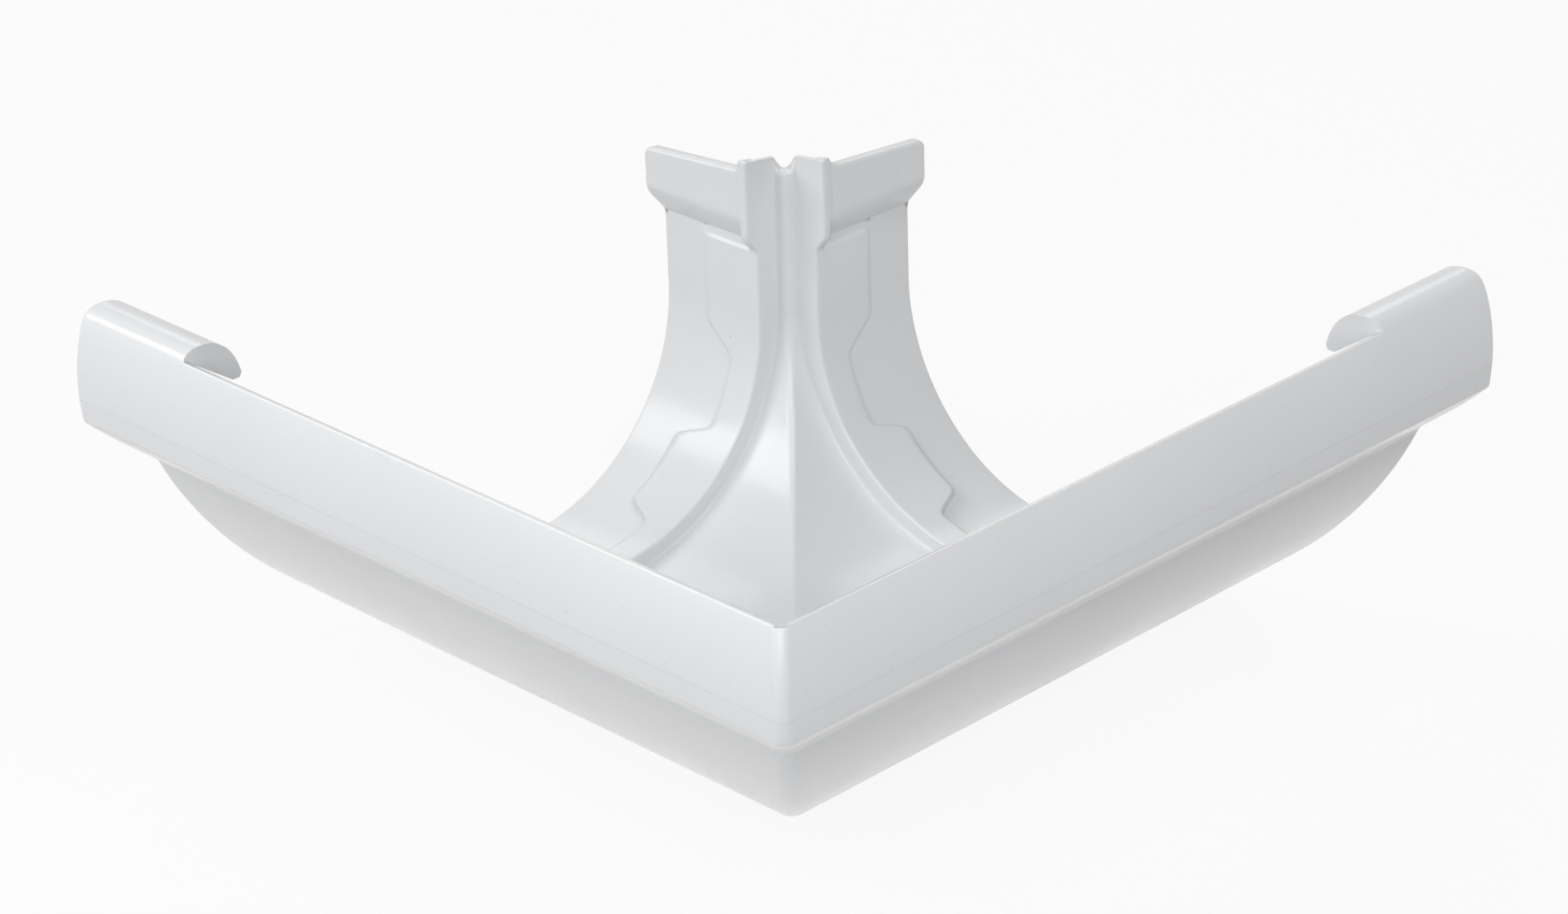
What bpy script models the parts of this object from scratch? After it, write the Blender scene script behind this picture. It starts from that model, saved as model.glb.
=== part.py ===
"""Gutter external angle: one moulded corner that joins two runs of gutter at 90 degrees.

The wall is drawn as a section in two coordinates: u runs inwards from the cut edge of the front
face, and z runs up from that edge. A leg is a loft of such sections along v, the distance from the
outer corner, and the other leg is its mirror image across the mitre.
"""
import math
from dataclasses import dataclass

import bmesh
import bpy
from mathutils import Vector
from mathutils.geometry import interpolate_bezier

# Channel of the corner, metres
CHANNEL_WIDTH = 0.1146
CHANNEL_DEPTH = 0.0666
WALL = 0.0022

# Front face and the cove under it
FACE_HEIGHT = 0.0156
FACE_EDGE = 0.0003
FACE_FULLEST = 0.0108
FACE_BULGE = 0.0025
FACE_TUCK = 0.0004
COVE_REACH = 0.0120
COVE_DROP = 0.0101

# Land that the fitting rests on
LAND_WIDTH = 0.0174

# Back wall: a flat over its round foot, a facet, and a retaining band along the top.
# Towards the leg's end the band leans further in, its top falls and its foot lifts
FLAT_HEIGHT = 0.0132
FACET_HEIGHT = 0.0042
BAND_DROP = 0.0062
BAND_HEIGHT = 0.0080
BAND_INSET = 0.0025
BAND_LEAN = 0.0014
BAND_FALL = 0.0009
BAND_LIFT = 0.0008
RIM_EASE = 0.0006

# Socket for the gutter's end, and the stop at its bottom, where the wall steps out to the corner.
# The step is deep up the back wall and shallow under the land
SOCKET_DEPTH = 0.0214
CORNER_GAP = 0.0001
STOP_DEPTH = 0.0036
STOP_SHALLOW = 0.0010
SHALLOW_ANGLE = 75
STOP_RUN = 0.0004
STOP_FADE = 0.0220
STRIP_DROP = 0.0014

# Block that ends the band at the stop
BLOCK_WIDTH = 0.0018
BLOCK_PROUD = 0.0001
BLOCK_RISE = 0.0015
BLOCK_FOOT = 0.0036
BLOCK_SLOPE = 0.0006
BLOCK_FALL = 0.0005

# Seating pad beside the stop
PAD_RISE = 0.0016
PAD_GAP = 0.0020
PAD_NARROW = 0.0060
PAD_WIDE = 0.0120
DRAFT = 0.0003

# The pad down the round foot: degrees below level, reach from the stop, and share of its full rise
PAD_EDGE = ((0, PAD_WIDE, 0.44), (6, PAD_WIDE, 0.38), (14, PAD_NARROW, 0.28), (35.5, PAD_NARROW, 0.30),
            (39.5, PAD_WIDE, 0.40), (63.5, PAD_WIDE, 0.88), (68, PAD_NARROW, 0.95), (90, PAD_NARROW, 1))

# Rolled lip on the front of each leg's end, closed by a web towards the corner
LIP_LENGTH = 0.0229
LIP_WEB = 0.0020
LIP_RISE = 0.0014
LIP_CREST = 0.0027
LIP_REACH = 0.0095
LIP_DROP = 0.0048
LIP_TIP = 0.0012
LIP_HOOK = 0.0007
LIP_TUCK = 0.0004

# Rounding of the mitre: outside at the front, and along the ridge inside
FRONT_ROUND = 0.0015
RIDGE_ROUND = 0.0015
CREASE_ANGLE = 60
CREASE_ROUND = 0.0004

# Handles of the curves, each as shares of the way across and of the way up or down
ROLL_CURVE = ((0.44, 0.14), (1.00, 0.51))
TUCK_CURVE = ((0.00, 0.37), (0.50, 0.63))
COVE_CURVE = ((0.30, 0.36), (0.66, 0.70))
BOWL_CURVE = ((0.16, 0.46), (0.61, 1.00))
FACET_CURVE = ((0.00, 0.15), (0.40, 0.42))
LIP_RISE_CURVE = ((0.17, 0.69), (0.50, 1.00))
LIP_ROLL_CURVE = ((0.54, 0.00), (0.86, 0.37))

# Smoothness of the curves
ROLL_STEPS = 6
TUCK_STEPS = 3
COVE_STEPS = 4
BOWL_STEPS = 18
LAND_STEPS = 2
ARC_STEP = 2.5
FACET_STEPS = 4
LIP_STEPS = 5
ROUND_SEGMENTS = 3
SMOOTH_ANGLE = math.radians(35)
MERGE = 0.00001

# Places worked out from the sizes
STOP = CHANNEL_WIDTH + STOP_DEPTH + CORNER_GAP
LEG_LENGTH = STOP + SOCKET_DEPTH
LIP_START = LEG_LENGTH - LIP_LENGTH
BAND_TOP = -BAND_DROP
BAND_FOOT = BAND_TOP - BAND_HEIGHT
FACET_FOOT = BAND_FOOT - FACET_HEIGHT
ARC_Z = FACET_FOOT - FLAT_HEIGHT
BACK_RADIUS = CHANNEL_DEPTH + ARC_Z
ARC_U = CHANNEL_WIDTH - BACK_RADIUS
PAD_TOP = FACET_FOOT - PAD_GAP
LAND_U = ARC_U - LAND_WIDTH
CENTRE = LAND_U + LAND_WIDTH / 2
UNDERSIDE = -CHANNEL_DEPTH - STOP_SHALLOW


@dataclass
class Row:
    """One line of the loft along a leg, given by its place on the outside of the wall."""

    socket: Vector
    corner: Vector
    depth: float = STOP_SHALLOW
    slide: float = 1.0
    rise: float = PAD_RISE
    reach: float = PAD_NARROW
    padded: bool = True
    lean: float = 0.0
    fall: float = 0.0
    round_out: float = 0.0
    round_in: float = 0.0


@dataclass
class Station:
    """One section of a leg: its paths, and their distance v from the corner."""

    outer: list
    inner: list
    lip: list
    front: float
    outside: float
    inside: float
    follows_pad: bool = False
    rim: tuple = ()


def ease(share):
    """A smooth rise from 0 to 1."""
    share = min(max(share, 0.0), 1.0)
    return share * share * (3 - 2 * share)


def curve(start, end, handles, steps):
    """Points of a curve from start to end, without the first one."""
    span = end - start
    pulls = [start + Vector((across * span.x, along * span.y)) for across, along in handles]
    return [Vector(p[:2]) for p in interpolate_bezier(start, *pulls, end, steps + 1)][1:]


def face_points():
    """The front face: it rolls out of the cut edge, bulges, and tucks in at its foot."""
    edge = Vector((-FACE_EDGE, 0))
    fullest = Vector((-FACE_BULGE, -FACE_FULLEST))
    foot = Vector((FACE_TUCK - FACE_BULGE, -FACE_HEIGHT))
    roll = curve(edge, fullest, ROLL_CURVE, ROLL_STEPS)
    return [edge] + roll + curve(fullest, foot, TUCK_CURVE, TUCK_STEPS)


def front_rows():
    """Rows from the cut edge to the land, where the step of the stop fades in."""
    face = face_points()
    cove = curve(face[-1], face[-1] + Vector((COVE_REACH, -COVE_DROP)), COVE_CURVE, COVE_STEPS)
    bowl = curve(cove[-1], Vector((LAND_U, -CHANNEL_DEPTH)), BOWL_CURVE, BOWL_STEPS)
    rows = []
    for point in face + cove + bowl:
        before = (LAND_U - point.x) / STOP_FADE
        step = ease(1 - before)
        rows.append(Row(point, point, STOP_SHALLOW * step, ease(2 - before), PAD_RISE * step,
                        round_out=FRONT_ROUND * (1 - step)))
    return rows


def land_rows():
    """Rows across the flat land."""
    across = [LAND_U + LAND_WIDTH * i / LAND_STEPS for i in range(1, LAND_STEPS)]
    return [Row(Vector((u, -CHANNEL_DEPTH)), Vector((u, -CHANNEL_DEPTH))) for u in across]


def pad_edge():
    """Places down the pad's far edge, with one at each of its corners."""
    places = []
    for low, high in zip(PAD_EDGE, PAD_EDGE[1:]):
        steps = max(1, round((high[0] - low[0]) / ARC_STEP))
        for i in range(steps):
            places.append([a + (b - a) * i / steps for a, b in zip(low, high)])
    return places + [list(PAD_EDGE[-1])]


def arc_rows():
    """Rows up the round foot of the back wall. The ridge of the mitre sharpens down it."""
    rows = []
    for degrees, reach, rise in reversed(pad_edge()):
        angle = math.radians(degrees)
        point = Vector((ARC_U + BACK_RADIUS * math.cos(angle), ARC_Z - BACK_RADIUS * math.sin(angle)))
        depth = STOP_DEPTH + (STOP_SHALLOW - STOP_DEPTH) * min(1, degrees / SHALLOW_ANGLE)
        ridge = RIDGE_ROUND + (CREASE_ROUND - RIDGE_ROUND) * ease(degrees / CREASE_ANGLE)
        rows.append(Row(point, point, depth, rise=PAD_RISE * rise, reach=reach, round_in=ridge))
    return rows


def wall_rows():
    """Rows up the back wall, its facet and its band, to just under the rim."""
    foot = Vector((CHANNEL_WIDTH, FACET_FOOT))
    facet = curve(foot, Vector((CHANNEL_WIDTH - BAND_INSET, BAND_FOOT)), FACET_CURVE, FACET_STEPS)
    below = [Vector((CHANNEL_WIDTH, z)) for z in ((ARC_Z + PAD_TOP) / 2, PAD_TOP, PAD_TOP + DRAFT)]
    top = Vector((CHANNEL_WIDTH - BAND_INSET, BAND_TOP - RIM_EASE))
    rows = []
    for point in below + [foot] + facet + [top]:
        padded = point.y <= PAD_TOP
        inset = (CHANNEL_WIDTH - point.x) / BAND_INSET
        rows.append(Row(point, Vector((CHANNEL_WIDTH, point.y)), STOP_DEPTH, rise=PAD_RISE * PAD_EDGE[0][-1],
                        reach=PAD_WIDE if padded else PAD_NARROW, padded=padded,
                        lean=BAND_LEAN * inset, fall=-BAND_LIFT * inset, round_in=RIDGE_ROUND))
    rows[-1].corner.y -= STRIP_DROP
    rows[-1].fall = BAND_FALL
    return rows


def normals(path):
    """Inward normals of an open path, lengthened at bends so that a wall keeps its thickness."""
    result = []
    for i in range(len(path)):
        sides = [(b - a).normalized() for a, b in zip(path[max(i - 1, 0):i + 1], path[max(i, 1):i + 2])]
        along = sum(sides, Vector((0, 0))).normalized()
        result.append(Vector((-along.y, along.x)) / along.dot(sides[0]))
    return result


def moved(path, distances):
    """A path moved inwards by a distance at each point."""
    return [p + n * d for p, n, d in zip(path, normals(path), distances)]


def lip_outside():
    """Outside of the rolled lip, from the cut edge over the crest to the tip of its hook."""
    crest = Vector((LIP_CREST, LIP_RISE))
    nose = Vector((LIP_REACH, -LIP_DROP))
    rise = curve(Vector((-FACE_EDGE, 0)), crest, LIP_RISE_CURVE, LIP_STEPS)
    return rise + curve(crest, nose, LIP_ROLL_CURVE, LIP_STEPS) + [nose - Vector((LIP_TUCK, LIP_HOOK))]


def lip_inside(outside):
    """Inside of the lip. Its wall thins towards the hook."""
    path = outside[:-1]
    walls = [WALL + (LIP_TIP - WALL) * (i + 1) / len(path) for i in range(len(path))]
    return moved(path, [-wall for wall in walls]) + [outside[-1] - Vector((LIP_TIP, 0))]


def block_inside(rows, pad):
    """Inside of the block: just proud of the band, and run down into the pad."""
    face = CHANNEL_WIDTH - BAND_INSET - WALL - BLOCK_PROUD
    path = []
    for row, point in zip(rows, pad):
        height = row.socket.y
        foot = CHANNEL_WIDTH - WALL - row.rise
        block = Vector((foot + (face - foot) * ease((height - PAD_TOP) / BLOCK_FOOT), height))
        path.append(point if row.padded else block)
    return raised(path)


def raised(path):
    """A path whose last point, under the rim, is raised by the block."""
    return path[:-1] + [path[-1] + Vector((0, BLOCK_RISE))]


def topped(path, height):
    """A path whose last point is moved to a height."""
    return path[:-1] + [Vector((path[-1].x, height))]


def rim_points(outer, inner):
    """The rim's two points, eased in from the outside and the inside of the wall."""
    across = (inner[-1] - outer[-1]).normalized() * RIM_EASE
    up = Vector((0, RIM_EASE))
    return outer[-1] + across + up, inner[-1] - across + up


def stations(rows):
    """The stations from a leg's end back to the stop."""
    socket_out = [row.socket for row in rows]
    socket_in = moved(socket_out, [WALL] * len(rows))
    pad_in = moved(socket_in, [row.rise * row.padded for row in rows])
    corner_out = moved([row.corner for row in rows], [-row.depth for row in rows])
    corner_in = moved(corner_out, [WALL] * len(rows))
    block_in = block_inside(rows, pad_in)
    block_out = topped([row.corner for row in rows], block_in[-1].y - BLOCK_SLOPE)
    shoulder_in = topped(corner_in, block_in[-1].y - BLOCK_FALL)
    slope = Vector((CHANNEL_WIDTH, block_in[-1].y + RIM_EASE - BLOCK_SLOPE / 2))
    notch_in = topped(corner_in, shoulder_in[-1].y - BLOCK_FALL)
    notch_slope = notch_in[-1] + Vector((RIM_EASE / 2, RIM_EASE / 2))
    outer_rim = rim_points(corner_out, corner_in)[0]
    hollow = lip_inside(lip_outside())
    web = [corner_in[0].lerp(hollow[-1], (i + 1) / len(hollow)) for i in range(len(hollow))]
    pocket = LIP_START + LIP_WEB
    spread = (LEG_LENGTH - pocket - DRAFT) / 4
    fronts = [pocket + DRAFT + spread * i for i in range(5)]
    block = STOP + BLOCK_WIDTH
    back = STOP + WALL
    return [
        Station(socket_out, socket_in, hollow, LEG_LENGTH, LEG_LENGTH, LEG_LENGTH),
        Station(socket_out, socket_in, hollow, fronts[3], back + PAD_WIDE, STOP + DRAFT, True),
        Station(socket_out, pad_in, hollow, fronts[2], back + PAD_NARROW, STOP, True),
        Station(socket_out, pad_in, hollow, fronts[1], back + 3 * STOP_RUN, block + DRAFT),
        Station(block_out, block_in, hollow, fronts[0], back + 2 * STOP_RUN, block),
        Station(block_out, block_in, web, pocket, back + STOP_RUN, STOP),
        Station(corner_out, shoulder_in, web, LIP_START + LIP_WEB * 2 / 3, back, STOP,
                rim=(outer_rim, slope)),
        Station(corner_out, notch_in, web, LIP_START + LIP_WEB / 3, STOP + 2 * DRAFT, STOP - DRAFT / 2,
                rim=(outer_rim, notch_slope)),
        Station(corner_out, corner_in, web, LIP_START, STOP + DRAFT, STOP - DRAFT),
    ]


def place(point, row, v):
    """A section's point at distance v along the leg that lies along +X."""
    beyond = max(0.0, (v - STOP - BLOCK_WIDTH) / (SOCKET_DEPTH - BLOCK_WIDTH))
    return Vector((v - CENTRE, point.x - row.lean * beyond - CENTRE,
                   point.y - row.fall * beyond - UNDERSIDE))


def wall_ring(rows, outer, inner, rim, spot):
    """Points round the wall, from the front's outside over the back's rim to the front's inside."""
    outside = list(zip(outer, rows)) + [(rim[0], rows[-1])]
    inside = [(rim[1], rows[-1])] + list(zip(reversed(inner), reversed(rows)))
    return ([place(p, row, spot(p, row, False)) for p, row in outside]
            + [place(p, row, spot(p, row, True)) for p, row in inside])


def station_ring(rows, station):
    """Points round a station: the wall's, then the lip's inside and outside."""
    def spot(_, row, is_inside):
        back = station.outside
        if is_inside:
            back = station.inside + row.reach * station.follows_pad
        return station.front + (back - station.front) * row.slide

    lip = station.lip + list(reversed(lip_outside()))
    rim = station.rim or rim_points(station.outer, station.inner)
    wall = wall_ring(rows, station.outer, station.inner, rim, spot)
    return wall + [place(p, rows[0], station.front) for p in lip]


def extrude_ring(bm, ring, points):
    """Extrude a closed ring of vertices and set the new ones on the points."""
    edges = [bm.edges.get(pair) for pair in zip(ring, ring[1:] + ring[:1])]
    made = bmesh.ops.extrude_edge_only(bm, edges=edges)["geom"]
    fresh = {item for item in made if isinstance(item, bmesh.types.BMVert)}
    result = [next(e.other_vert(v) for e in v.link_edges if e.other_vert(v) in fresh) for v in ring]
    for vertex, point in zip(result, points):
        vertex.co = point
    return result


def mark_rounding(bm, rows, ring):
    """Weigh the mitre's edges by the radius that each is rounded to."""
    layer = bm.edges.layers.float.new("bevel_weight_edge")
    inside = [row.round_in for row in reversed(rows)]
    radii = [row.round_out for row in rows] + [0.0, inside[0]] + inside
    for i in range(len(ring) - 1):
        if i != len(rows):
            bm.edges.get((ring[i], ring[i + 1]))[layer] = min(radii[i], radii[i + 1]) / RIDGE_ROUND


def leg_mesh():
    """The half of the fitting that lies along +X, open at the mitre."""
    rows = front_rows() + land_rows() + arc_rows() + wall_rows()
    sections = stations(rows)
    bm = bmesh.new()
    ring = [bm.verts.new(point) for point in station_ring(rows, sections[0])]
    bm.faces.new(ring)
    for station in sections[1:]:
        ring = extrude_ring(bm, ring, station_ring(rows, station))
    wall_count = 2 * len(rows) + 2
    wall = ring[:wall_count]
    bm.faces.new([wall[-1]] + ring[wall_count:] + [wall[0]])
    outer, inner = sections[-1].outer, sections[-1].inner
    mitre = wall_ring(rows, outer, inner, rim_points(outer, inner), lambda point, row, is_inside: point.x)
    wall = extrude_ring(bm, wall, mitre)
    mark_rounding(bm, rows, wall)
    bmesh.ops.recalc_face_normals(bm, faces=bm.faces)
    mesh = bpy.data.meshes.new("external_angle")
    bm.to_mesh(mesh)
    bm.free()
    return mesh


def plastic():
    """Gloss white uPVC."""
    material = bpy.data.materials.new("white_upvc")
    material.use_nodes = True
    shader = material.node_tree.nodes["Principled BSDF"]
    shader.inputs["Base Color"].default_value = (0.80, 0.81, 0.83, 1)
    shader.inputs["Roughness"].default_value = 0.28
    shader.inputs["Metallic"].default_value = 0.0
    return material


def add_object(collection, name, data):
    """A new object in a collection."""
    thing = bpy.data.objects.new(name, data)
    collection.objects.link(thing)
    return thing


def main():
    for thing in list(bpy.data.objects):
        bpy.data.objects.remove(thing, do_unlink=True)
    collection = bpy.data.collections.new("gutter_external_angle")
    bpy.context.scene.collection.children.link(collection)

    mitre = add_object(collection, "mitre_plane", None)
    mitre.rotation_euler.z = math.radians(-45)

    fitting = add_object(collection, "external_angle", leg_mesh())
    fitting.data.materials.append(plastic())
    fitting.data.shade_smooth()
    fitting.data.set_sharp_from_angle(angle=SMOOTH_ANGLE)

    mirror = fitting.modifiers.new("other_leg", "MIRROR")
    mirror.mirror_object = mitre
    mirror.merge_threshold = MERGE

    rounding = fitting.modifiers.new("mitre_rounding", "BEVEL")
    rounding.limit_method = "WEIGHT"
    rounding.width = RIDGE_ROUND
    rounding.segments = ROUND_SEGMENTS


main()
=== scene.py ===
import math
from dataclasses import dataclass

import bmesh
import bpy
from bpy.props import FloatProperty, FloatVectorProperty, PointerProperty
from mathutils import Matrix, Vector
from mathutils.geometry import interpolate_bezier


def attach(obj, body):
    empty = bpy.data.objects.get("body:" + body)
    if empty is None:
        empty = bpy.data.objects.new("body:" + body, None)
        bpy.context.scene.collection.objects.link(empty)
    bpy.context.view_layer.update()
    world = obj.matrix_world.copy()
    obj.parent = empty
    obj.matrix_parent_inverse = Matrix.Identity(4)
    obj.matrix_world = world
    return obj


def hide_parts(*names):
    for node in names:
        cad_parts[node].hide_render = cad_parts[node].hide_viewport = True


bl_info = {
    "name": "Gutter external angle",
    "version": (1, 0, 0),
    "blender": (4, 5, 0),
    "location": "View3D > Sidebar > Gutter",
    "description": "A moulded gutter corner in gloss white, on a plain studio floor",
    "category": "Object",
}

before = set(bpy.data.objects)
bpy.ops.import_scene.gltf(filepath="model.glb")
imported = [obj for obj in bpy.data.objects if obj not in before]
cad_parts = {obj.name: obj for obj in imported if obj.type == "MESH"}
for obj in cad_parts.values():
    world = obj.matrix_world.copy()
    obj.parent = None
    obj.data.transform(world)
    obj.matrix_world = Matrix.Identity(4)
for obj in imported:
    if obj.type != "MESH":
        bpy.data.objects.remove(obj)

# Curve handles, each as shares of the way across and of the way up or down
ROLL_CURVE = ((0.44, 0.14), (1.00, 0.51))
TUCK_CURVE = ((0.00, 0.37), (0.50, 0.63))
COVE_CURVE = ((0.30, 0.36), (0.66, 0.70))
BOWL_CURVE = ((0.16, 0.46), (0.61, 1.00))
FACET_CURVE = ((0.00, 0.15), (0.40, 0.42))
LIP_RISE_CURVE = ((0.17, 0.69), (0.50, 1.00))
LIP_ROLL_CURVE = ((0.54, 0.00), (0.86, 0.37))

# The pad down the round foot: degrees below level, how far its reach is from narrow to wide, and
# the share of its full rise
PAD_EDGE = ((0, 1.0, 0.34), (6, 1.0, 0.32), (14, 0.0, 0.28), (35.5, 0.0, 0.30),
            (39.5, 1.0, 0.40), (63.5, 1.0, 0.88), (68, 0.0, 0.95), (90, 0.0, 1.0))

# Degrees down the round foot at which the stop's step is shallow, and the ridge is a crease
SHALLOW_ANGLE = 75
CREASE_ANGLE = 60

# The pad's far side and the block's: share of the way up, and distance out from the nominal edge
PAD_SIDE = ((0.0, 0.0010), (0.08, 0.0006), (0.35, 0.0002), (0.75, -0.0002), (0.94, -0.0006),
            (1.0, -0.0012))
BLOCK_SIDE = ((0.0, 0.0004), (0.3, 0.00015), (0.7, 0.0), (0.92, -0.00025), (1.0, -0.0007))

# Steps along the curves. The round foot's are in degrees, and the lip's length is cut in shares.
ROLL_STEPS = 14
TUCK_STEPS = 5
COVE_STEPS = 9
BOWL_STEPS = 36
LAND_STEPS = 4
ARC_STEP = 1.5
FACET_STEPS = 7
PAD_TOP_STEPS = 3
LIP_STEPS = 12
LIP_SHARES = 5
QUARTER_STEPS = 3
ROUND_SEGMENTS = 5

# Least share kept of an inset's normal at a sharp turn, how near two points are one, and the axis
# that the mesh's points and faces are sorted along, so that their order is the same each run
SHARPEST_TURN = 0.6
DOUBLES = 0.000005
ORDER_AXIS = Vector((1.0, 0.6180, 0.3247))

# Plastic: the scale of each noise, the levels of it that show, and how strongly
TINT_SCALE, TINT_LEVELS, TINT_SHADE = 20, (0.35, 0.65), 0.975
SPECK_SCALE, SPECK_LEVELS, SPECK_COLOUR = 2200, (0.86, 0.89), (0.62, 0.61, 0.60)
HAIRLINE_SCALE, HAIRLINE_LEVEL, HAIRLINE_WIDTH = 45, 0.56, 0.0022
PATCH_SCALE, PATCH_LEVELS = 70, (0.60, 0.66)
SMEAR_SCALE, SMEAR_LEVELS, SMEAR_GLOSS, SMEAR_DULL = 60, (0.3, 0.7), 0.03, 0.05
RIPPLE_SCALE, GRAIN_SCALE, GRAIN_SHARE = 40, 1400, 0.02
MARK_COLOUR, MARK_SHARE, MARK_DEPTH = (0.62, 0.63, 0.64), 0.6, 0.15
PLASTIC_IOR, PLASTIC_SPECULAR = 1.53, 0.3

# Tool line: its height, half its width, its strength, and the x or y that only front faces pass
TOOL_LINE, TOOL_LINE_WIDTH, TOOL_LINE_SHARE = 0.0556, 0.00016, 0.7
FACE_LIMIT = -0.0695

# Soft lights: name, azimuth and elevation in degrees, size, and the setting that holds the power
LIGHTS = (
    ("front_softbox", 225, 30, 0.6, "front_power"),
    ("left_softbox", 150, 40, 0.5, "left_power"),
    ("right_softbox", 270, 60, 0.6, "right_power"),
    ("left_rear_softbox", 126, 33, 0.28, "rear_power"),
    ("right_rear_softbox", 45, 40, 0.5, "rear_power"),
)
LIGHT_DISTANCE = 0.9
LIGHT_AIM = (0, 0, 0.03)

# Floor: half of its side, and its roughness
FLOOR_HALF = 4.0
FLOOR_ROUGHNESS = 0.9

# Camera: its place, the azimuth, fall and roll of its view in degrees, and where it starts to see
CAMERA_PLACE = (-0.4159, -0.4283, 0.3302)
CAMERA_TURN = (45.8829, 25.758, -1.8044)
CAMERA_START = 0.05


class GUTTER_PG_sizes(bpy.types.PropertyGroup):
    """Sizes of the moulding, the same as those of the frame's solid."""

    channel_width: FloatProperty(
        name="Channel width", description="From the front's cut edge to the outside of the back wall",
        default=0.1146, unit="LENGTH")
    channel_depth: FloatProperty(
        name="Channel depth", description="From the front's cut edge to the underside of the land",
        default=0.0666, unit="LENGTH")
    wall: FloatProperty(
        name="Wall", description="Thickness of the moulded wall",
        default=0.0022, unit="LENGTH")
    face_height: FloatProperty(
        name="Face height", description="Height of the front face", default=0.0156, unit="LENGTH")
    face_bulge: FloatProperty(
        name="Face bulge", description="How far the front face stands out",
        default=0.0025, unit="LENGTH")
    cove_reach: FloatProperty(
        name="Cove reach", description="How far the cove runs back under the face",
        default=0.0120, unit="LENGTH")
    cove_drop: FloatProperty(
        name="Cove drop", description="How far the cove falls", default=0.0101, unit="LENGTH")
    land_width: FloatProperty(
        name="Land width", description="Width of the flat land that the fitting rests on",
        default=0.0174, unit="LENGTH")
    flat_height: FloatProperty(
        name="Flat height", description="Height of the back wall's flat over its round foot",
        default=0.0132, unit="LENGTH")
    band_height: FloatProperty(
        name="Band height", description="Height of the retaining band at the block",
        default=0.0080, unit="LENGTH")
    socket_depth: FloatProperty(
        name="Socket depth", description="Length of the socket for the gutter's end",
        default=0.0214, unit="LENGTH")
    stop_depth: FloatProperty(
        name="Stop depth", description="How far the wall steps out at the stop",
        default=0.0036, unit="LENGTH")
    lip_length: FloatProperty(
        name="Lip length", description="Length of the rolled lip at each end",
        default=0.0229, unit="LENGTH")
    ridge_round: FloatProperty(
        name="Ridge round", description="Radius of the mitre's ridge inside",
        default=0.0015, unit="LENGTH")
    edge_round: FloatProperty(
        name="Edge round", description="Radius of the moulding's small edges",
        default=0.0003, unit="LENGTH")


class GUTTER_PG_finish(bpy.types.PropertyGroup):
    """Finish of the moulded plastic."""

    colour: FloatVectorProperty(
        name="Colour", description="Colour of the gloss white plastic", subtype="COLOR", size=3,
        default=(0.770, 0.778, 0.790), min=0.0, max=1.0)
    roughness: FloatProperty(
        name="Roughness", description="Roughness of the moulded skin", default=0.17, subtype="FACTOR")
    ripple: FloatProperty(
        name="Ripple", description="Depth of the slow ripple in the skin",
        default=0.00003, unit="LENGTH")
    scuff: FloatProperty(
        name="Scuff", description="Strength of the fine handling marks", default=0.5, subtype="FACTOR")


class GUTTER_PG_studio(bpy.types.PropertyGroup):
    """Lights, floor and camera."""

    front_power: FloatProperty(
        name="Front light", description="Power of the soft light in front", default=3.4, unit="POWER")
    left_power: FloatProperty(
        name="Left light", description="Power of the soft light on the left", default=3.1, unit="POWER")
    right_power: FloatProperty(
        name="Right light", description="Power of the high soft light on the right", default=3.0,
        unit="POWER")
    rear_power: FloatProperty(
        name="Rear lights", description="Power of each of the two soft lights behind", default=1.15,
        unit="POWER")
    floor_colour: FloatVectorProperty(
        name="Floor colour", description="Colour of the studio floor under the white glow",
        subtype="COLOR", size=3, default=(0.68, 0.68, 0.68), min=0.0, max=1.0)
    floor_white: FloatProperty(
        name="Floor white", description="Share of plain white that the camera sees in the floor",
        default=0.92, subtype="FACTOR")
    lens: FloatProperty(
        name="Lens", description="Focal length of the camera in millimetres", default=105.69)


@dataclass
class Row:
    """One line of the loft along a leg."""

    # Place on the outside of the wall, at the socket and before the corner's step
    socket: Vector
    corner: Vector
    # How far the corner steps out, and how fully the row follows a station along the leg
    depth: float
    slide: float = 1.0
    # The pad's rise off the wall, its reach beyond the stop, and the share of it that is there
    rise: float = 0.0
    reach: float = 0.0
    padded: float = 1.0
    # How far the band leans in and drops at the leg's end
    lean: float = 0.0
    fall: float = 0.0
    # Radii that round the mitre, outside and inside
    round_out: float = 0.0
    round_in: float = 0.0


@dataclass
class Station:
    """One section of a leg."""

    # Paths of the wall's outside and inside, and of the inside of the lip
    outer: list
    inner: list
    lip: list
    # Distances v from the corner: of the front rows, and of the wall's outside and inside
    front: float
    outside: float
    inside: float
    # Whether the inside follows the pad's edge, and how far the ring is drawn in
    follows_pad: bool = False
    inset: float = 0.0


def ease(share):
    """A smooth rise from 0 to 1."""
    share = min(max(share, 0.0), 1.0)
    return share * share * (3 - 2 * share)


def curve(start, end, handles, steps):
    """Points of a curve from start to end, without the first one."""
    span = end - start
    pulls = [start + Vector((across * span.x, along * span.y)) for across, along in handles]
    return [Vector(p[:2]) for p in interpolate_bezier(start, *pulls, end, steps + 1)][1:]


def normals(path):
    """Inward normals of an open path, lengthened at bends so that a wall keeps its thickness."""
    result = []
    for i in range(len(path)):
        sides = [(b - a).normalized() for a, b in zip(path[max(i - 1, 0):i + 1], path[max(i, 1):i + 2])]
        along = sum(sides, Vector((0, 0))).normalized()
        result.append(Vector((-along.y, along.x)) / along.dot(sides[0]))
    return result


def moved(path, distances):
    """A path moved inwards by a distance at each point."""
    return [p + n * d for p, n, d in zip(path, normals(path), distances)]


def topped(path, height):
    """A path whose last point is moved to a height."""
    return path[:-1] + [Vector((path[-1].x, height))]


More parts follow.
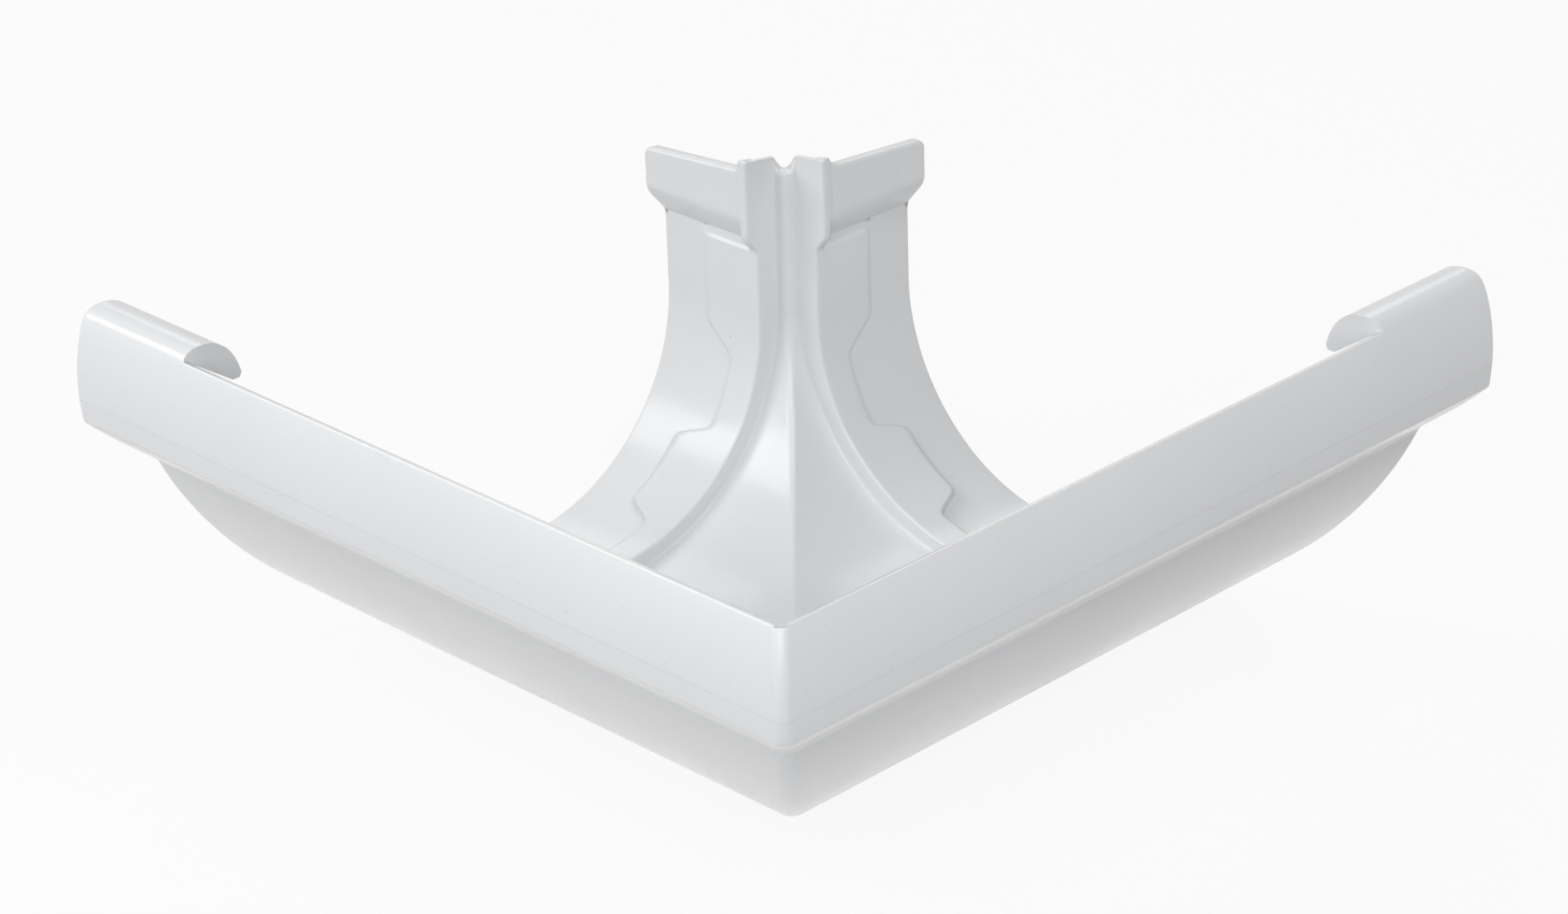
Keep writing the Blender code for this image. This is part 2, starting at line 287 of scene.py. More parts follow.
def pulled(path, towards, distance):
    """A path moved a distance towards another, at most half of the way."""
    result = []
    for start, end in zip(path, towards):
        gap = (end - start).length
        result.append(start.lerp(end, min(0.5, distance / gap) if gap else 0.0))
    return result


def blended(path, other, share):
    """A path a share of the way to another."""
    return [a.lerp(b, share) for a, b in zip(path, other)]


def softened(path, index, size):
    """A path whose bend at an index is rounded, from a distance before it to one after it."""
    bend = path[index]
    start = bend + (path[index - 1] - bend).normalized() * size
    end = bend + (path[index + 1] - bend).normalized() * size
    bow = [start.lerp(bend, t).lerp(bend.lerp(end, t), t) for t in (0.0, 0.25, 0.5, 0.75, 1.0)]
    return path[:index] + bow + path[index + 1:]


def inset_ring(ring, distance):
    """A closed ring moved into its own area."""
    result = []
    for i, point in enumerate(ring):
        before = (point - ring[i - 1]).normalized()
        after = (ring[(i + 1) % len(ring)] - point).normalized()
        along = (before + after).normalized()
        normal = Vector((-along.y, along.x)) / max(SHARPEST_TURN, along.dot(before))
        result.append(point + normal * distance)
    return result


def quarter(radius):
    """Steps round a quarter circle: how far across, and how far along, each one still has to go."""
    turns = [math.radians(90 * i / QUARTER_STEPS) for i in range(QUARTER_STEPS + 1)]
    return [(radius * (1 - math.cos(turn)), radius * (1 - math.sin(turn))) for turn in turns]


class Moulding:
    """The rows and stations of one leg, worked out from the sizes."""

    # Front face: the cut edge, the height where it is fullest as a share, and the tuck of its foot
    FACE_EDGE = 0.0003
    FACE_FULLEST = 0.69
    FACE_TUCK = 0.0004

    # Roundings of the bends, rims and edges; the strip's is a share of the ridge's
    FACE_SOFT = 0.0004
    BOWL_SOFT = 0.0012
    BAND_SOFT = 0.0005
    RIM_ROUND = 0.0006
    BROW_ROUND = 0.0005
    FOOT_ROUND = 0.0006
    END_ROUND = 0.0011
    STRIP_ROUND = 0.8
    FRONT_ROUND = 0.0015
    CREASE_ROUND = 0.0004

    # Band: its drop below the cut edge, its step in, its lean, fall and lift at the leg's end, and the
    # height of the facet under it
    BAND_DROP = 0.0062
    BAND_INSET = 0.0025
    BAND_LEAN = 0.0014
    BAND_FALL = 0.0009
    BAND_LIFT = 0.0008
    FACET_HEIGHT = 0.0042

    # Stop: the gap to the mitre, its depth under the land, the run between its stations outside, its
    # fade under the front, the strip's drop, its foot's spread in drafts and its fall's lead in steps
    CORNER_GAP = 0.0001
    STOP_SHALLOW = 0.0010
    STOP_RUN = 0.00015
    STOP_FADE = 0.0220
    STRIP_DROP = 0.0014
    FOOT_SPREAD = 4
    FALL_LEAD = 1.6
    DRAFT = 0.0003

    # Block: its width, how far it stands proud of the band, how far it rises over it, the height of
    # its foot, and how its top falls to the outside and to the strip
    BLOCK_WIDTH = 0.0018
    BLOCK_PROUD = 0.0001
    BLOCK_RISE = 0.0020
    BLOCK_FOOT = 0.0036
    BLOCK_SLOPE = 0.0018
    BLOCK_FALL = 0.0010

    # Pad: its rise, the gap under the facet, its least and greatest reach, and its soft upper edge
    PAD_RISE = 0.0016
    PAD_GAP = 0.0020
    PAD_NARROW = 0.0060
    PAD_WIDE = 0.0120
    PAD_SOFT = 0.0003

    # Rolled lip: the web that closes it, its crest, its reach and drop, and its hooked tip
    LIP_WEB = 0.0020
    LIP_RISE = 0.0014
    LIP_CREST = 0.0027
    LIP_REACH = 0.0095
    LIP_DROP = 0.0048
    LIP_TIP = 0.0012
    LIP_HOOK = 0.0007
    LIP_TUCK = 0.0004

    def __init__(self, sizes):
        self.s = sizes
        self.stop = sizes.channel_width + sizes.stop_depth + self.CORNER_GAP
        self.length = self.stop + sizes.socket_depth
        self.lip_start = self.length - sizes.lip_length
        self.band_top = -self.BAND_DROP
        self.band_foot = self.band_top - sizes.band_height
        self.facet_foot = self.band_foot - self.FACET_HEIGHT
        self.pad_top = self.facet_foot - self.PAD_GAP
        self.arc_z = self.facet_foot - sizes.flat_height
        self.radius = sizes.channel_depth + self.arc_z
        self.arc_u = sizes.channel_width - self.radius
        self.land_u = self.arc_u - sizes.land_width
        self.centre = self.land_u + sizes.land_width / 2
        self.underside = -sizes.channel_depth - self.STOP_SHALLOW
        self.edge = Vector((-self.FACE_EDGE, 0))
        self.rows = self.front_rows() + self.land_rows() + self.arc_rows() + self.wall_rows()

    def face_points(self):
        """The front face: it rolls out of the cut edge, bulges, and tucks in at its foot."""
        s = self.s
        fullest = Vector((-s.face_bulge, -self.FACE_FULLEST * s.face_height))
        foot = Vector((self.FACE_TUCK - s.face_bulge, -s.face_height))
        roll = curve(self.edge, fullest, ROLL_CURVE, ROLL_STEPS)
        return [self.edge] + roll + curve(fullest, foot, TUCK_CURVE, TUCK_STEPS)

    def front_rows(self):
        """Rows from the cut edge to the land, where the step of the stop fades in."""
        s = self.s
        face = self.face_points()
        cove = curve(face[-1], face[-1] + Vector((s.cove_reach, -s.cove_drop)), COVE_CURVE, COVE_STEPS)
        bowl = curve(cove[-1], Vector((self.land_u, -s.channel_depth)), BOWL_CURVE, BOWL_STEPS)
        path = softened(face + cove + bowl, len(face + cove) - 1, self.BOWL_SOFT)
        path = softened(path, len(face) - 1, self.FACE_SOFT)
        rows = []
        for point in path:
            before = (self.land_u - point.x) / self.STOP_FADE
            step = ease(1 - before)
            rows.append(Row(point, point, self.STOP_SHALLOW * step, ease(2 - before),
                            self.PAD_RISE * step, self.PAD_NARROW,
                            round_out=self.FRONT_ROUND * (1 - step)))
        return rows

    def land_rows(self):
        """Rows across the flat land."""
        across = [self.land_u + self.s.land_width * i / LAND_STEPS for i in range(1, LAND_STEPS)]
        points = [Vector((u, -self.s.channel_depth)) for u in across]
        return [Row(p, p, self.STOP_SHALLOW, rise=self.PAD_RISE, reach=self.PAD_NARROW) for p in points]

    def pad_edge(self):
        """Places down the pad's far edge, with its corners rounded off."""
        places = []
        for low, high in zip(PAD_EDGE, PAD_EDGE[1:]):
            steps = max(1, round((high[0] - low[0]) / ARC_STEP))
            for i in range(steps):
                places.append([a + (b - a) * i / steps for a, b in zip(low, high)])
        places.append(list(PAD_EDGE[-1]))
        rounded = [places[0]]
        for before, at, after in zip(places, places[1:], places[2:]):
            rounded.append([at[0]] + [(a + 2 * b + c) / 4 for a, b, c in
                                      zip(before[1:], at[1:], after[1:])])
        return rounded + [places[-1]]

    def arc_rows(self):
        """Rows up the round foot of the back wall. The ridge of the mitre sharpens down it."""
        s = self.s
        rows = []
        for degrees, wide, rise in reversed(self.pad_edge()):
            angle = math.radians(degrees)
            point = Vector((self.arc_u + self.radius * math.cos(angle),
                            self.arc_z - self.radius * math.sin(angle)))
            shallow = min(1, degrees / SHALLOW_ANGLE)
            depth = s.stop_depth + (self.STOP_SHALLOW - s.stop_depth) * shallow
            ridge = s.ridge_round + (self.CREASE_ROUND - s.ridge_round) * ease(degrees / CREASE_ANGLE)
            reach = self.PAD_NARROW + (self.PAD_WIDE - self.PAD_NARROW) * wide
            rows.append(Row(point, point, depth, rise=self.PAD_RISE * rise, reach=reach, round_in=ridge))
        return rows

    def wall_rows(self):
        """Rows up the back wall, its facet and its band, to just under the rim."""
        s = self.s
        foot = Vector((s.channel_width, self.facet_foot))
        band = Vector((s.channel_width - self.BAND_INSET, self.band_foot))
        top = Vector((band.x, self.band_top - self.RIM_ROUND))
        soft = self.PAD_SOFT
        heights = [self.pad_top - soft + soft * i for i in range(PAD_TOP_STEPS + 1)]
        below = [Vector((s.channel_width, z)) for z in [(self.arc_z + self.pad_top) / 2] + heights]
        facet = [foot] + curve(foot, band, FACET_CURVE, FACET_STEPS)
        rows = []
        for point in softened(below + facet + [top], len(below + facet) - 1, self.BAND_SOFT):
            padded = 1 - ease((point.y - self.pad_top + soft) / (PAD_TOP_STEPS * soft))
            inset = (s.channel_width - point.x) / self.BAND_INSET
            rows.append(Row(point, Vector((s.channel_width, point.y)), s.stop_depth,
                            rise=self.PAD_RISE * PAD_EDGE[0][-1], reach=self.PAD_WIDE, padded=padded,
                            lean=self.BAND_LEAN * inset, fall=-self.BAND_LIFT * inset,
                            round_in=s.ridge_round * self.STRIP_ROUND))
        rows[-1].corner.y -= self.STRIP_DROP
        rows[-1].fall = self.BAND_FALL
        return rows

    def lip_outside(self):
        """Outside of the rolled lip, from the cut edge over the crest to the tip of its hook."""
        crest = Vector((self.LIP_CREST, self.LIP_RISE))
        nose = Vector((self.LIP_REACH, -self.LIP_DROP))
        rise = curve(self.edge, crest, LIP_RISE_CURVE, LIP_STEPS // 2)
        roll = curve(crest, nose, LIP_ROLL_CURVE, LIP_STEPS)
        return rise + roll + [nose - Vector((self.LIP_TUCK, self.LIP_HOOK))]

    def lip_inside(self, outside):
        """Inside of the lip. Its wall thins towards the hook."""
        path = outside[:-1]
        wall = self.s.wall
        walls = [wall + (self.LIP_TIP - wall) * (i + 1) / len(path) for i in range(len(path))]
        return moved(path, [-thick for thick in walls]) + [outside[-1] - Vector((self.LIP_TIP, 0))]

    def block_inside(self, pad):
        """Inside of the block: just proud of the band, and run down into the pad."""
        s = self.s
        face = s.channel_width - self.BAND_INSET - s.wall - self.BLOCK_PROUD
        path = []
        for row, point in zip(self.rows, pad):
            height = row.socket.y
            foot = s.channel_width - s.wall - row.rise
            share = ease((height - self.pad_top + self.PAD_SOFT) / self.BLOCK_FOOT)
            path.append(point if row.padded == 1 else Vector((foot + (face - foot) * share, height)))
        return topped(path, path[-1].y + self.BLOCK_RISE)

    def paths(self):
        """The section's paths: the socket's, the pad's, the block's and the corner's."""
        s = self.s
        rows = self.rows
        socket_out = [row.socket for row in rows]
        socket_in = moved(socket_out, [s.wall] * len(rows))
        pad_in = moved(socket_in, [row.rise * row.padded for row in rows])
        corner_out = moved([row.corner for row in rows], [-row.depth for row in rows])
        corner_in = moved(corner_out, [s.wall] * len(rows))
        block_in = self.block_inside(pad_in)
        block_out = topped([row.corner for row in rows], block_in[-1].y - self.BLOCK_SLOPE)
        return socket_out, socket_in, pad_in, block_out, block_in, corner_out, corner_in

    def end_stations(self, outer, inner, hollow):
        """The leg's end: its edge is rounded, and so is the band's upper corner."""
        radius = self.END_ROUND
        stations = []
        for across, along in list(reversed(quarter(self.s.edge_round))) + [(0, radius / 2), (0, radius)]:
            v = self.length - along
            drop = radius - math.sqrt(radius ** 2 - (radius - along) ** 2)
            stations.append(Station(topped(outer, outer[-1].y - drop), topped(inner, inner[-1].y - drop),
                                    hollow, v, v, v, inset=across))
        return stations

    def pad_stations(self, outer, inner, pad, hollow, fronts):
        """The pad's far edge, with soft foot and brow."""
        stations = []
        for i, (share, out) in enumerate(PAD_SIDE):
            front = fronts[0] + (fronts[1] - fronts[0]) * i / len(PAD_SIDE)
            outside = self.stop + self.s.wall + self.PAD_WIDE - i * self.STOP_RUN
            stations.append(Station(outer, blended(inner, pad, share), hollow, front, outside,
                                    self.stop + out, True))
        return stations

    def block_stations(self, socket_out, pad, block_out, block_in, hollow, fronts, back):
        """The block's side towards the leg's end."""
        stations = []
        for i, (share, out) in enumerate(BLOCK_SIDE):
            front = fronts[0] + (fronts[1] - fronts[0]) * i / len(BLOCK_SIDE)
            outer = socket_out if i == 0 else blended(socket_out, block_out, share)
            stations.append(Station(outer, blended(pad, block_in, share), hollow, front,
                                    back - i * self.STOP_RUN, self.stop + self.BLOCK_WIDTH + out))
        return stations

    def stop_stations(self, block_out, block_in, corner_out, corner_in, web, back):
        """The stop: a rounded brow, the step out to the corner, and a rounded foot."""
        stations = []
        for across, along in quarter(self.BROW_ROUND):
            inner = pulled(block_in, corner_in, across)
            inner = topped(inner, block_in[-1].y - across / 2)
            stations.append(Station(block_out, inner, web, 0, back - len(stations) * self.STOP_RUN,
                                    self.stop + along))
        shoulder = block_in[-1].y - self.BLOCK_FALL
        fall = shoulder - corner_in[-1].y
        for i, (along, across) in enumerate(quarter(self.FOOT_ROUND)):
            inner = pulled(corner_in, block_in, across)
            inner = topped(inner, shoulder - fall * ease(i / QUARTER_STEPS))
            spread = self.FOOT_SPREAD - (self.FOOT_SPREAD - 1) * i / QUARTER_STEPS
            outside = self.stop + (self.DRAFT * spread if i else self.s.wall)
            outer = topped(corner_out, shoulder - fall * ease((i + self.FALL_LEAD) / QUARTER_STEPS))
            stations.append(Station(outer, inner, web, 0, outside, self.stop - along))
        for i, station in enumerate(stations):
            station.front = self.lip_start + self.LIP_WEB * (1 - i / (len(stations) - 1))
        return stations

    def stations(self):
        """The stations from a leg's end back to the stop."""
        socket_out, socket_in, pad_in, block_out, block_in, corner_out, corner_in = self.paths()
        hollow = self.lip_inside(self.lip_outside())
        web = [corner_in[0].lerp(hollow[-1], (i + 1) / len(hollow)) for i in range(len(hollow))]
        pocket = self.lip_start + self.LIP_WEB
        step = (self.length - pocket) / LIP_SHARES
        back = self.stop + self.s.wall
        run = len(BLOCK_SIDE) * self.STOP_RUN
        return (self.end_stations(socket_out, socket_in, hollow)
                + self.pad_stations(socket_out, socket_in, pad_in, hollow,
                                    (pocket + 4 * step, pocket + 3 * step))
                + self.block_stations(socket_out, pad_in, block_out, block_in, hollow,
                                      (pocket + 2 * step, pocket + self.DRAFT), back + 2 * run)
                + self.stop_stations(block_out, block_in, corner_out, corner_in, web, back + run))

    def place(self, point, row, v):
        """A section's point at distance v along the leg that lies along +X."""
        start = self.stop + self.BLOCK_WIDTH
        beyond = max(0.0, (v - start) / (self.length - start))
        return Vector((v - self.centre, point.x - row.lean * beyond - self.centre,
                       point.y - row.fall * beyond - self.underside))

    def rim(self, outer, inner):
        """Points over the rim, rounded on both sides."""
        radius = self.RIM_ROUND
        across = (inner[-1] - outer[-1]).normalized()
        turns = [math.radians(90 * (i + 1) / QUARTER_STEPS) for i in range(QUARTER_STEPS)]
        shifts = [(radius * (1 - math.cos(turn)), radius * math.sin(turn)) for turn in turns]
        outside = [outer[-1] + across * x + Vector((0, y)) for x, y in shifts]
        inside = [inner[-1] - across * x + Vector((0, y)) for x, y in reversed(shifts)]
        return outside, inside

    def section(self, station):
        """A station's closed ring: each point with its row, and whether it is on the inside."""
        rows = self.rows
        over, under = self.rim(station.outer, station.inner)
        return ([(p, row, False) for p, row in zip(station.outer, rows)]
                + [(p, rows[-1], False) for p in over] + [(p, rows[-1], True) for p in under]
                + [(p, row, True) for p, row in zip(reversed(station.inner), reversed(rows))])

    def station_ring(self, station):
        """Points round a station: the wall's, then the lip's inside and outside."""
        wall = self.section(station)
        lip = station.lip + list(reversed(self.lip_outside()))
        flat = inset_ring([p for p, _, _ in wall] + lip, station.inset)
        ring = []
        for point, (_, row, is_inside) in zip(flat, wall):
            back = station.outside
            if is_inside:
                back = station.inside + row.reach * station.follows_pad
            ring.append(self.place(point, row, station.front + (back - station.front) * row.slide))
        return ring + [self.place(p, self.rows[0], station.front) for p in flat[len(wall):]]

    def mitre_ring(self, station):
        """Points round the wall on the mitre, where v is as far as u."""
        return [self.place(p, row, p.x) for p, row, _ in self.section(station)]


def extrude_ring(bm, ring, points):
    """Extrude a closed ring of vertices and set the new ones on the points."""
    edges = [bm.edges.get(pair) for pair in zip(ring, ring[1:] + ring[:1])]
    made = bmesh.ops.extrude_edge_only(bm, edges=edges)["geom"]
    fresh = {item for item in made if isinstance(item, bmesh.types.BMVert)}
    result = [next(e.other_vert(v) for e in v.link_edges if e.other_vert(v) in fresh) for v in ring]
    for vertex, point in zip(result, points):
        vertex.co = point
    return result


def weigh_edges(bm, layer, ring, radii, widest):
    """Weigh a chain of edges by the radius that each is rounded to."""
    for i in range(len(ring) - 1):
        edge = bm.edges.get((ring[i], ring[i + 1]))
        edge[layer] = min(radii[i], radii[i + 1]) / widest


def moulding_mesh(moulding):
    """Both legs: one is extruded from its end to the mitre, and mirrored across it."""
    sections = moulding.stations()
    bm = bmesh.new()
    layer = bm.edges.layers.float.new("bevel_weight_edge")
    ring = [bm.verts.new(point) for point in moulding.station_ring(sections[0])]
    bm.faces.new(ring)
    for station in sections[1:]:
        ring = extrude_ring(bm, ring, moulding.station_ring(station))
    section = moulding.section(sections[-1])
    wall = ring[:len(section)]
    bm.faces.new([wall[-1]] + ring[len(section):] + [wall[0]])
    mitre = extrude_ring(bm, wall, moulding.mitre_ring(sections[-1]))
    radii = [row.round_in if is_inside else row.round_out for _, row, is_inside in section]
    weigh_edges(bm, layer, mitre, radii, moulding.s.ridge_round)
    for start, end in ((wall[0], mitre[0]), (wall[-1], mitre[-1])):
        bm.edges.get((start, end))[layer] = moulding.s.edge_round / moulding.s.ridge_round
    bmesh.ops.mirror(bm, geom=bm.verts[:] + bm.edges[:] + bm.faces[:],
                     matrix=Matrix.Rotation(math.radians(-45), 4, "Z"), merge_dist=-1, axis="Y")
    bmesh.ops.remove_doubles(bm, verts=bm.verts, dist=DOUBLES)
    bmesh.ops.recalc_face_normals(bm, faces=bm.faces)
    bm.verts.sort(key=lambda vertex: vertex.co.dot(ORDER_AXIS))
    bm.faces.sort(key=lambda face: face.calc_center_median().dot(ORDER_AXIS))
    mesh = bpy.data.meshes.new("moulded_angle")
    bm.to_mesh(mesh)
    bm.free()
    return mesh


def new_material(name):
    """A material with its nodes, its node tree and its shader."""
    material = bpy.data.materials.new(name)
    material.use_nodes = True
    nodes = material.node_tree.nodes
    return material, nodes, material.node_tree.links, nodes["Principled BSDF"]


def noise(nodes, links, place, scale, detail, rough=0.5):
    """A noise texture on the object's own coordinates."""
    texture = nodes.new("ShaderNodeTexNoise")
    texture.inputs["Scale"].default_value = scale
    texture.inputs["Detail"].default_value = detail
    texture.inputs["Roughness"].default_value = rough
    links.new(place, texture.inputs["Vector"])
    return texture.outputs["Fac"]


def ramp(nodes, links, value, low, high, from_value=0.0, to_value=1.0):
    """A value stretched from one range to another, and clamped."""
    node = nodes.new("ShaderNodeMapRange")
    node.inputs["From Min"].default_value = low
    node.inputs["From Max"].default_value = high
    node.inputs["To Min"].default_value = from_value
    node.inputs["To Max"].default_value = to_value
    links.new(value, node.inputs["Value"])
    return node.outputs["Result"]


def math_node(nodes, links, operation, first, second):
    """A maths node. Each input is a socket or a number."""
    node = nodes.new("ShaderNodeMath")
    node.operation = operation
    for socket, value in zip(node.inputs, (first, second)):
        if isinstance(value, (int, float)):
            socket.default_value = value
        else:
            links.new(value, socket)
    return node.outputs[0]


def colour_mix(nodes, links, share, base, over):
    """One colour laid over another by a share. The base is a socket or a colour."""
    mix = nodes.new("ShaderNodeMix")
    mix.data_type = "RGBA"
    links.new(share, mix.inputs["Factor"])
    if isinstance(base, tuple):
        mix.inputs["A"].default_value = (*base, 1)
    else:
        links.new(base, mix.inputs["A"])
    mix.inputs["B"].default_value = (*over, 1)
    return mix.outputs["Result"]


def near(nodes, links, value, middle, width):
    """1 where a value is at the middle, falling to 0 at the width either side."""
    away = math_node(nodes, links, "ABSOLUTE", math_node(nodes, links, "SUBTRACT", value, middle), 0)
    return ramp(nodes, links, away, 0.0, width, 1.0, 0.0)


def hairlines(nodes, links, place):
    """Sparse hairline scratches: thin level lines of a noise, kept in patches only."""
    level = noise(nodes, links, place, HAIRLINE_SCALE, 1)
    lines = near(nodes, links, level, HAIRLINE_LEVEL, HAIRLINE_WIDTH)
    patches = ramp(nodes, links, noise(nodes, links, place, PATCH_SCALE, 1), *PATCH_LEVELS)
    return math_node(nodes, links, "MULTIPLY", lines, patches)


def tool_line(nodes, links, place):
    """The faint level line that the tool's split leaves on the front faces."""
    split = nodes.new("ShaderNodeSeparateXYZ")
    links.new(place, split.inputs["Vector"])
    line = near(nodes, links, split.outputs["Z"], TOOL_LINE, TOOL_LINE_WIDTH)
    front = math_node(nodes, links, "MINIMUM", split.outputs["X"], split.outputs["Y"])
    on_face = math_node(nodes, links, "LESS_THAN", front, FACE_LIMIT)
    return math_node(nodes, links, "MULTIPLY", line, on_face)


def gloss_white(finish):
    """Gloss white plastic: a slow tint, specks, hairlines, a tool line and a rippled skin."""
    material, nodes, links, shader = new_material("gloss_white_plastic")
    place = nodes.new("ShaderNodeTexCoord").outputs["Object"]

    cloud = ramp(nodes, links, noise(nodes, links, place, TINT_SCALE, 3), *TINT_LEVELS)
    shade = tuple(c * TINT_SHADE for c in finish.colour)
    tint = colour_mix(nodes, links, cloud, tuple(finish.colour), shade)
    specks = ramp(nodes, links, noise(nodes, links, place, SPECK_SCALE, 0), *SPECK_LEVELS)
    spotted = colour_mix(nodes, links, specks, tint, SPECK_COLOUR)
    marks = math_node(nodes, links, "MULTIPLY", hairlines(nodes, links, place), finish.scuff)
    line = math_node(nodes, links, "MULTIPLY", tool_line(nodes, links, place), TOOL_LINE_SHARE)
    worn = math_node(nodes, links, "MAXIMUM", marks, line)
    worn = math_node(nodes, links, "MULTIPLY", worn, MARK_SHARE)
    links.new(colour_mix(nodes, links, worn, spotted, MARK_COLOUR), shader.inputs["Base Color"])

    smear = noise(nodes, links, place, SMEAR_SCALE, 4, 0.6)
    rough = ramp(nodes, links, smear, *SMEAR_LEVELS, finish.roughness - SMEAR_GLOSS,
                 finish.roughness + SMEAR_DULL)
    links.new(rough, shader.inputs["Roughness"])

    ripple = noise(nodes, links, place, RIPPLE_SCALE, 2)
    grain = math_node(nodes, links, "MULTIPLY", noise(nodes, links, place, GRAIN_SCALE, 2), GRAIN_SHARE)
    cut = math_node(nodes, links, "MULTIPLY", marks, MARK_DEPTH)
    height = math_node(nodes, links, "SUBTRACT", math_node(nodes, links, "ADD", ripple, grain), cut)
    bump = nodes.new("ShaderNodeBump")
    bump.inputs["Strength"].default_value = 1.0
    bump.inputs["Distance"].default_value = finish.ripple
    links.new(math_node(nodes, links, "ADD", height, line), bump.inputs["Height"])
    links.new(bump.outputs["Normal"], shader.inputs["Normal"])
    shader.inputs["IOR"].default_value = PLASTIC_IOR
    shader.inputs["Specular IOR Level"].default_value = PLASTIC_SPECULAR
    return material


class GUTTER_OT_moulded_angle(bpy.types.Operator):
    """Build the moulded corner with its sockets, stops, pads, bands and rolled lips"""

    bl_idname = "gutter.moulded_angle"
    bl_label = "Moulded angle"

    def execute(self, context):
        sizes = context.scene.gutter_sizes
        piece = bpy.data.objects.new("moulded_angle", moulding_mesh(Moulding(sizes)))
        context.scene.collection.objects.link(piece)
        piece.data.materials.append(gloss_white(context.scene.gutter_finish))
        piece.data.shade_smooth()
        rounding = piece.modifiers.new("edge_rounding", "BEVEL")
        rounding.limit_method = "WEIGHT"
        rounding.width = sizes.ridge_round
        rounding.segments = ROUND_SEGMENTS
        rounding.use_clamp_overlap = False
        evened = piece.modifiers.new("even_normals", "WEIGHTED_NORMAL")
        evened.keep_sharp = True
        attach(piece, "root")
        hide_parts("external_angle")
        return {"FINISHED"}


def soft_light(scene, name, place, target, size, power):
    """A square soft light that faces a point."""
    data = bpy.data.lights.new(name, "AREA")
    data.shape = "RECTANGLE"
    data.size = data.size_y = size
    data.energy = power
    lamp = bpy.data.objects.new(name, data)
    scene.collection.objects.link(lamp)
    lamp.location = place
    lamp.rotation_euler = (Vector(target) - Vector(place)).to_track_quat("-Z", "Y").to_euler()
    return lamp


def polar(azimuth, elevation, distance):
    """A point at an azimuth from +X and an elevation, in degrees, and a distance."""
    a, e = math.radians(azimuth), math.radians(elevation)
    return Vector((math.cos(a) * math.cos(e), math.sin(a) * math.cos(e), math.sin(e))) * distance


def seen_ray(nodes, links):
    """1 for the camera's rays, straight, mirrored or through glass, and 0 for light on the object."""
    rays = nodes.new("ShaderNodeLightPath").outputs
    seen = math_node(nodes, links, "MAXIMUM", rays["Is Camera Ray"], rays["Is Glossy Ray"])
    return math_node(nodes, links, "MAXIMUM", seen, rays["Is Transmission Ray"])


def studio_floor(scene, colour, white):
    """A plain pale floor, white to the camera but for the object's soft shadow."""
    bm = bmesh.new()
    bmesh.ops.create_grid(bm, x_segments=1, y_segments=1, size=FLOOR_HALF)
    mesh = bpy.data.meshes.new("studio_floor")
    bm.to_mesh(mesh)
    bm.free()
    floor = bpy.data.objects.new("studio_floor", mesh)
    scene.collection.objects.link(floor)
    material, nodes, links, shader = new_material("floor_paint")
    shader.inputs["Base Color"].default_value = (*colour, 1)
    shader.inputs["Roughness"].default_value = FLOOR_ROUGHNESS
    glow = nodes.new("ShaderNodeEmission")
    glow.inputs["Strength"].default_value = 1.0
    share = math_node(nodes, links, "MULTIPLY", seen_ray(nodes, links), white)
    blend = nodes.new("ShaderNodeMixShader")
    links.new(share, blend.inputs[0])
    links.new(shader.outputs[0], blend.inputs[1])
    links.new(glow.outputs[0], blend.inputs[2])
    links.new(blend.outputs[0], nodes["Material Output"].inputs["Surface"])
    mesh.materials.append(material)


def studio_world(scene):
    """White where the camera sees it, and no light of its own on the object."""
    world = bpy.data.worlds.new("studio_world")
    scene.world = world
    world.use_nodes = True
    nodes, links = world.node_tree.nodes, world.node_tree.links
    back = nodes["Background"]
    back.inputs["Color"].default_value = (1, 1, 1, 1)
    links.new(seen_ray(nodes, links), back.inputs["Strength"])


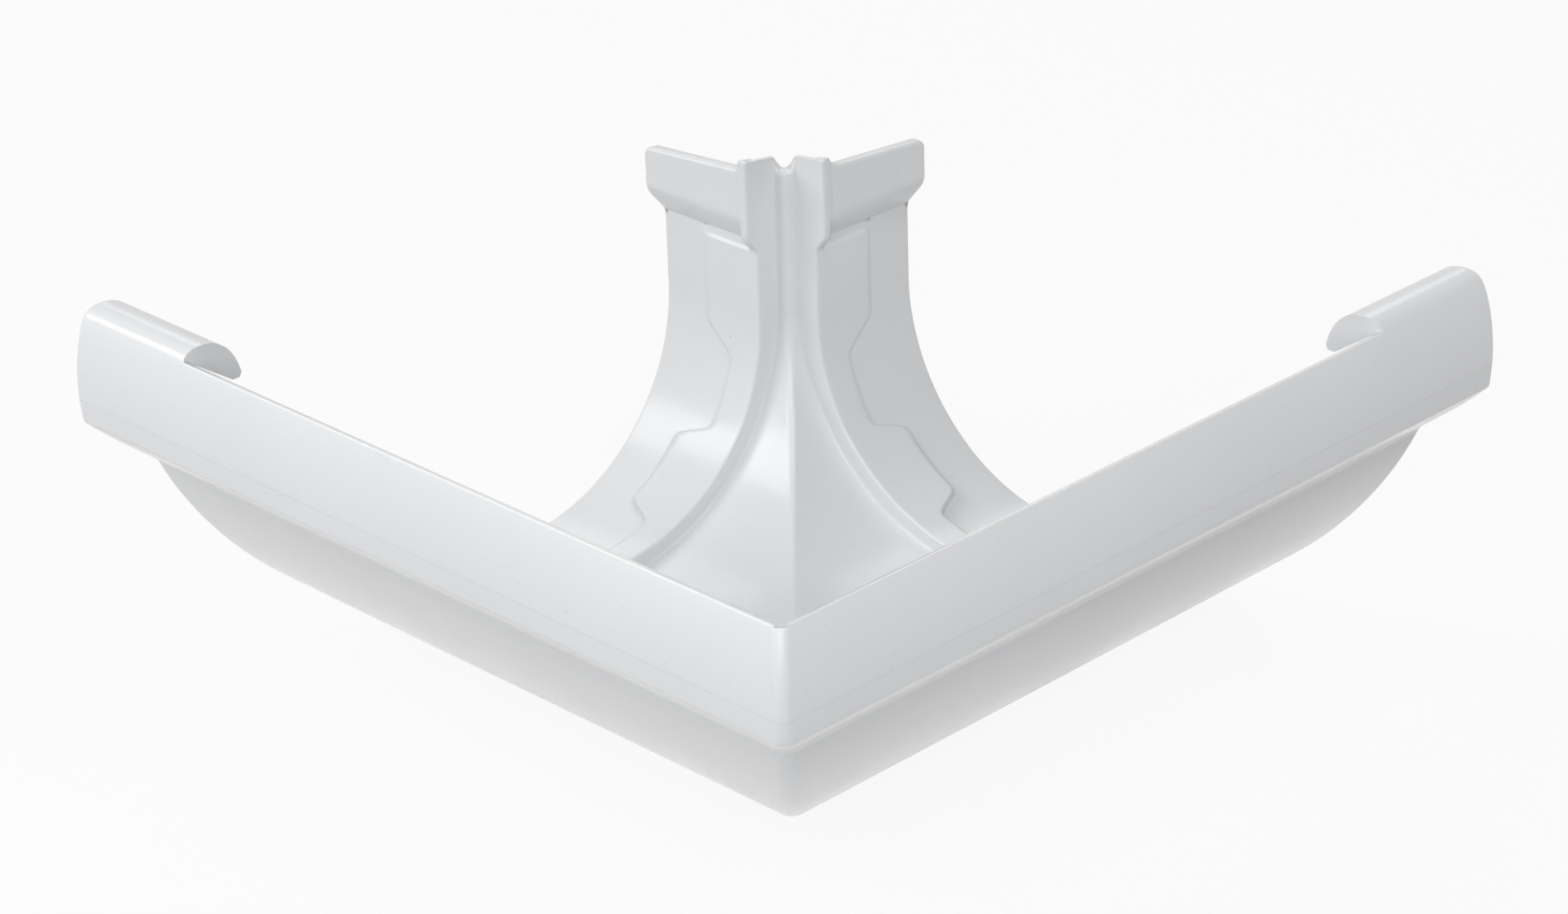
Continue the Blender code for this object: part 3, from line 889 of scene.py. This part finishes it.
def photo_camera(scene, lens):
    """The camera at the photograph's angle."""
    data = bpy.data.cameras.new("photo_camera")
    data.lens = lens
    data.clip_start = CAMERA_START
    camera = bpy.data.objects.new("photo_camera", data)
    scene.collection.objects.link(camera)
    azimuth, elevation, roll = (math.radians(angle) for angle in CAMERA_TURN)
    look = Vector((math.cos(elevation) * math.cos(azimuth), math.cos(elevation) * math.sin(azimuth),
                   -math.sin(elevation)))
    right = Vector((math.sin(azimuth), -math.cos(azimuth), 0))
    up = right.cross(look)
    across = math.cos(roll) * right + math.sin(roll) * up
    above = -math.sin(roll) * right + math.cos(roll) * up
    turn = Matrix((across, above, -look)).transposed().to_4x4()
    camera.matrix_world = Matrix.Translation(CAMERA_PLACE) @ turn
    scene.camera = camera


class GUTTER_OT_studio(bpy.types.Operator):
    """Set up the floor, the soft lights and the camera"""

    bl_idname = "gutter.studio"
    bl_label = "Studio"

    def execute(self, context):
        scene = context.scene
        studio = scene.gutter_studio
        studio_floor(scene, studio.floor_colour, studio.floor_white)
        studio_world(scene)
        for name, turn, height, size, power in LIGHTS:
            place = polar(turn, height, LIGHT_DISTANCE)
            soft_light(scene, name, place, LIGHT_AIM, size, getattr(studio, power))
        photo_camera(scene, studio.lens)
        scene.view_settings.view_transform = "Standard"
        return {"FINISHED"}


class GUTTER_PT_panel(bpy.types.Panel):
    """The moulding's sizes, finish and studio, with the buttons that build them"""

    bl_idname = "GUTTER_PT_panel"
    bl_label = "Gutter external angle"
    bl_space_type = "VIEW_3D"
    bl_region_type = "UI"
    bl_category = "Gutter"

    def draw(self, context):
        for name in GROUPS:
            group = getattr(context.scene, name)
            box = self.layout.box()
            for setting in group.__annotations__:
                box.prop(group, setting)
        for operator in (GUTTER_OT_moulded_angle, GUTTER_OT_studio):
            self.layout.operator(operator.bl_idname)


GROUPS = {
    "gutter_sizes": GUTTER_PG_sizes,
    "gutter_finish": GUTTER_PG_finish,
    "gutter_studio": GUTTER_PG_studio,
}
CLASSES = (*GROUPS.values(), GUTTER_OT_moulded_angle, GUTTER_OT_studio, GUTTER_PT_panel)


def register():
    for cls in CLASSES:
        bpy.utils.register_class(cls)
    for name, group in GROUPS.items():
        setattr(bpy.types.Scene, name, PointerProperty(type=group))


def unregister():
    for name in GROUPS:
        delattr(bpy.types.Scene, name)
    for cls in reversed(CLASSES):
        bpy.utils.unregister_class(cls)


def main():
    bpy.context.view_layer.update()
    register()
    bpy.ops.gutter.moulded_angle()
    bpy.ops.gutter.studio()


if __name__ == "__main__":
    main()
